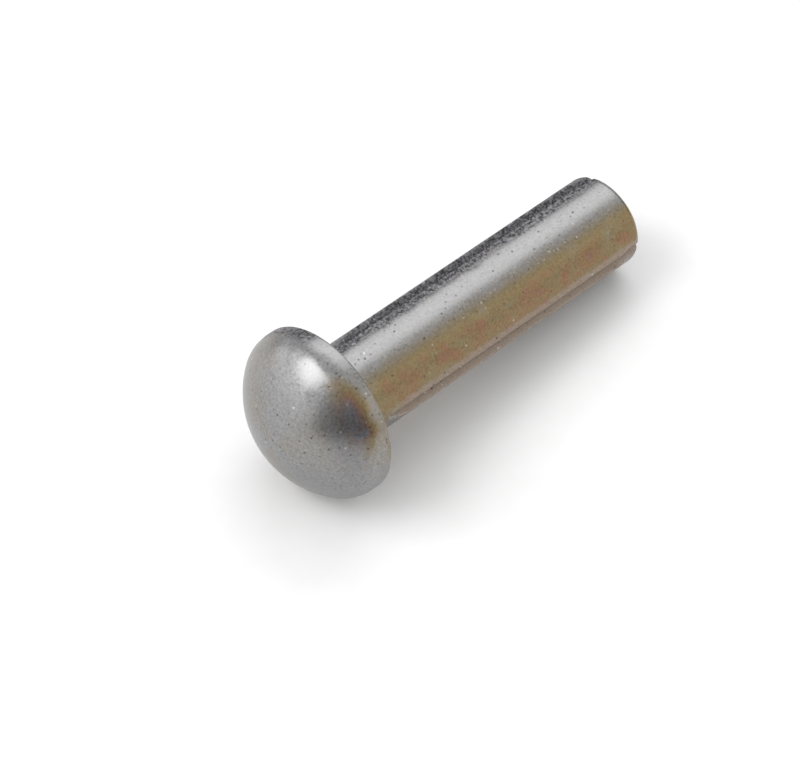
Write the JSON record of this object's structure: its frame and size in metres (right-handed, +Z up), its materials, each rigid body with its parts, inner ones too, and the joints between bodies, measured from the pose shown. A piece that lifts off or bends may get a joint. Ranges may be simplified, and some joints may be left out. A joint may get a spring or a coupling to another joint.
{
  "type": "grooved drive pin",
  "caption": "Small round-head steel drive pin with lengthwise swaged grooves along its plain shank, pressed into a drilled hole to fix a thin plate.",
  "frame": {"origin": "on the table, under the centre of the lying pin's outline", "axes": "+Z up, +X along the lying pin from its head to its tip. The pin's own axis drops about 6.0 degrees towards the tip, because it lies on its head's rim and its tip's edge."},
  "size_m": [0.0142, 0.0054, 0.0055],
  "materials": {
    "plated_steel": "satin zinc plate with a thin yellow passivate film, neutral grey on the head and golden brown on the shank"
  },
  "bodies": {
    "root": {"grooved_pin": "plated_steel"}
  },
  "joints": []
}
